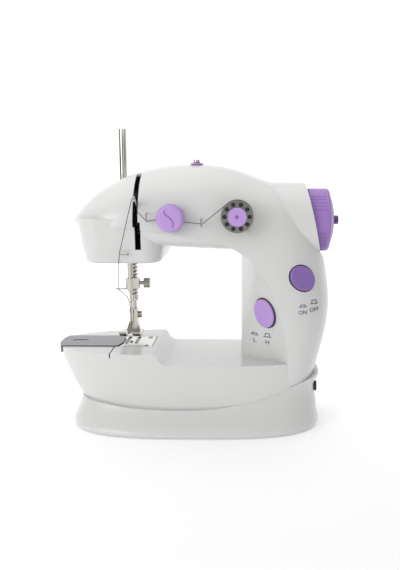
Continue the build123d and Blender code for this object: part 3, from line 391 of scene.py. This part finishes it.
# ---------------------------------------------------------------- screw heads on the plate and the back
def screw(name, origin, out, across, radius):
    """Domed screw head with a cross recess, seated on the surface."""
    place = seat(origin, out, across)
    bm = bmesh.new()
    steps = 24
    dome = ((radius, -0.05), (radius, 0.18), (radius * 0.86, 0.34), (radius * 0.5, 0.44))
    rings = [[bm.verts.new((x, y, h)) for x, y in circle(r, steps)] for r, h in dome]
    for a, b in zip(rings, rings[1:]):
        for k in range(steps):
            bm.faces.new((a[k], a[(k + 1) % steps], b[(k + 1) % steps], b[k])).smooth = True
    arm = radius * 0.12
    reach = radius * 0.44
    cross = [
        (arm, arm), (reach, arm), (reach, -arm),
        (arm, -arm), (arm, -reach), (-arm, -reach),
        (-arm, -arm), (-reach, -arm), (-reach, arm),
        (-arm, arm), (-arm, reach), (arm, reach),
    ]
    upper = [bm.verts.new((x, y, 0.42)) for x, y in cross]
    lower = [bm.verts.new((x * 0.8, y * 0.8, 0.1)) for x, y in cross]
    for k in range(12):
        bm.faces.new((upper[k], lower[k], lower[(k + 1) % 12], upper[(k + 1) % 12]))
    bm.faces.new(lower)
    edges = [bm.edges.get((rings[-1][k], rings[-1][(k + 1) % steps])) for k in range(steps)]
    edges += [bm.edges.get((upper[k], upper[(k + 1) % 12])) for k in range(12)]
    bmesh.ops.triangle_fill(bm, edges=edges, use_beauty=True)
    bm.faces.new(list(reversed(rings[0])))
    bmesh.ops.recalc_face_normals(bm, faces=bm.faces)
    for v in bm.verts:
        v.co = (place @ v.co) * MM
    piece(name, to_mesh(bm, name), nickel, "machine")


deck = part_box("needle_plate")[1].z / MM
for i, y in enumerate((-11.0, 11.0)):
    screw(f"plate_screw_{i}", (-35.2, y, deck), (0, 0, 1), (1, 0.35, 0), 1.7)
REAR_SCREWS = ((-62.0, 146.0), (10.0, 152.0), (68.0, 96.0), (72.0, 62.0), (-60.0, 34.0), (20.0, 34.0))
for i, (x, z) in enumerate(REAR_SCREWS):
    place, normal = on_shell(x, z, "rear_housing", 1)
    place = place - normal * 0.1
    screw(f"rear_screw_{i}", place, normal, (1, 0, 0.4), 2.4)


# ---------------------------------------------------------------- thread between moving pieces
THREAD_RADIUS = 0.22


def thread_run(name, route, node):
    """A length of thread along the route, fixed in place, which stands in for the given part of the model
    and hides it.
    """
    mesh = tube_mesh(name, smooth_path(route, 10), THREAD_RADIUS, sides=8)
    obj = link(name, mesh)
    mesh.materials.append(thread_mat)
    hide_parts(node)
    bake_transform(obj)


GUIDE = (-47.4, -37.9, 122.6)
CLAMP = (-54.6, -5.2, 93.5)
thread_run("thread_to_lever", [(-34.9, -38.4, 150.0), (-35.4, -41.5, 157.8), (-37.8, -41.6, 157.6), GUIDE],
           "take_up_thread")
thread_run("thread_to_clamp", [GUIDE, (-48.6, -33.9, 116.6), (-49.6, -30.6, 113.7), CLAMP],
           "clamp_thread")


# ---------------------------------------------------------------- washer on the winding stud
dish_low, dish_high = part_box("winding_dish")
dish_x = (dish_low.x + dish_high.x) / 2 / MM
dish_y = (dish_low.y + dish_high.y) / 2 / MM
washer_z = dish_high.z / MM + 0.3
washer = [(dish_x + x, dish_y + y, washer_z) for x, y in circle(2.0, 36)]
washer_mesh = tube_mesh("winding_washer", washer, 0.32, closed=True)
piece("winding_washer", washer_mesh, red, "machine")


# ---------------------------------------------------------------- floor, light and camera
FLOOR_FRONT = -1.6
FLOOR_REAR = 0.3
SWEEP = 1.6
FLOOR_HALF_WIDTH = 3.0
FLOOR_STEPS = 39
FLAT_SHARE = 0.4


def build_stage():
    """Floor that runs level under the machine and then curves up into a back wall."""
    profile = []
    for k in range(FLOOR_STEPS + 1):
        t = k / FLOOR_STEPS
        if t < FLAT_SHARE:
            profile.append((FLOOR_FRONT + t / FLAT_SHARE * (FLOOR_REAR - FLOOR_FRONT), 0.0))
        else:
            a = (t - FLAT_SHARE) / (1 - FLAT_SHARE) * math.pi / 2
            profile.append((FLOOR_REAR + SWEEP * math.sin(a), SWEEP * (1 - math.cos(a))))
    profile.append((FLOOR_REAR + SWEEP, 2 * SWEEP))
    bm = bmesh.new()
    rows = [[bm.verts.new((x, y, z)) for x in (-FLOOR_HALF_WIDTH, FLOOR_HALF_WIDTH)] for y, z in profile]
    for a, b in zip(rows, rows[1:]):
        bm.faces.new((a[0], a[1], b[1], b[0])).smooth = True
    mesh = to_mesh(bm, "floor")
    paper = material("floor_paper", (0.94, 0.94, 0.94), 0.8, bump=0.0, vary=0.002)
    bsdf = paper.node_tree.nodes["Principled BSDF"]
    bsdf.inputs["Emission Color"].default_value = (1, 1, 1, 1)
    bsdf.inputs["Emission Strength"].default_value = 0.18
    mesh.materials.append(paper)
    link("floor", mesh)


def area(name, place, aim, size, power):
    """Square soft light at a place, turned towards a point."""
    data = bpy.data.lights.new(name, "AREA")
    data.energy = power
    data.size = size
    lamp = link(name, data)
    lamp.location = place
    lamp.rotation_euler = (Vector(aim) - Vector(place)).to_track_quat("-Z", "Y").to_euler()


def build_light():
    world = bpy.data.worlds.new("studio")
    bpy.context.scene.world = world
    world.use_nodes = True
    background = world.node_tree.nodes["Background"]
    background.inputs["Color"].default_value = (1.0, 1.0, 1.0, 1)
    background.inputs["Strength"].default_value = 0.76
    area("key", (-0.75, -0.85, 0.42), (0, 0, 0.08), 0.6, 3.7)
    area("fill", (0.75, -0.8, 0.3), (0, 0, 0.09), 0.8, 0.4)
    area("top", (0.0, 0.05, 1.1), (0, 0, 0.1), 0.9, 0.2)
    area("wall", (0.0, 0.45, 0.95), (0, 1.5, 0.25), 1.8, 5.0)


def card(name, corners, tone, absorbs=False):
    """A plain card beside the set, never seen directly: a reflection, and a shade if it absorbs."""
    bm = bmesh.new()
    bm.faces.new([bm.verts.new(c) for c in corners])
    mesh = to_mesh(bm, name)
    obj = link(name, mesh)
    mesh.materials.append(material(name + "_card", (tone, tone, tone), 0.9, bump=0.0, vary=0.0))
    obj.visible_shadow = absorbs
    obj.visible_diffuse = absorbs
    obj.visible_camera = False


def side_card(name, x, y_near, y_far, z_low, z_high, tone, absorbs=False):
    corners = [(x, y_near, z_low), (x, y_far, z_low), (x, y_far, z_high), (x, y_near, z_high)]
    card(name, corners, tone, absorbs)


def build_cards():
    side_card("card_left", -0.75, -0.55, 0.10, 0.0, 0.8, 0.01)
    side_card("card_right", 0.42, -0.45, 0.10, 0.02, 0.5, 0.35, absorbs=True)
    front = [(-0.22, -1.15, 0.0), (0.10, -1.15, 0.0), (0.10, -1.15, 0.42), (-0.22, -1.15, 0.42)]
    card("card_front", front, 0.02)


CAMERA_AZIMUTH = math.radians(0.8)
CAMERA_HEIGHT = math.radians(10.3)
CAMERA_AIM = Vector((0.02965, 0.0, 0.0955))
CAMERA_DISTANCE = 0.5


def build_camera():
    data = bpy.data.cameras.new("camera")
    data.lens = 45.1
    data.sensor_width = 36.0
    data.shift_x = -0.0702
    cam = link("camera", data)
    az = CAMERA_AZIMUTH
    el = CAMERA_HEIGHT
    look = Vector((-math.sin(az) * math.cos(el), math.cos(az) * math.cos(el), -math.sin(el)))
    cam.location = CAMERA_AIM - look * CAMERA_DISTANCE
    cam.rotation_euler = look.to_track_quat("-Z", "Y").to_euler()
    bpy.context.scene.camera = cam


build_stage()
build_light()
build_cards()
build_camera()

bpy.context.scene.view_settings.view_transform = "Standard"
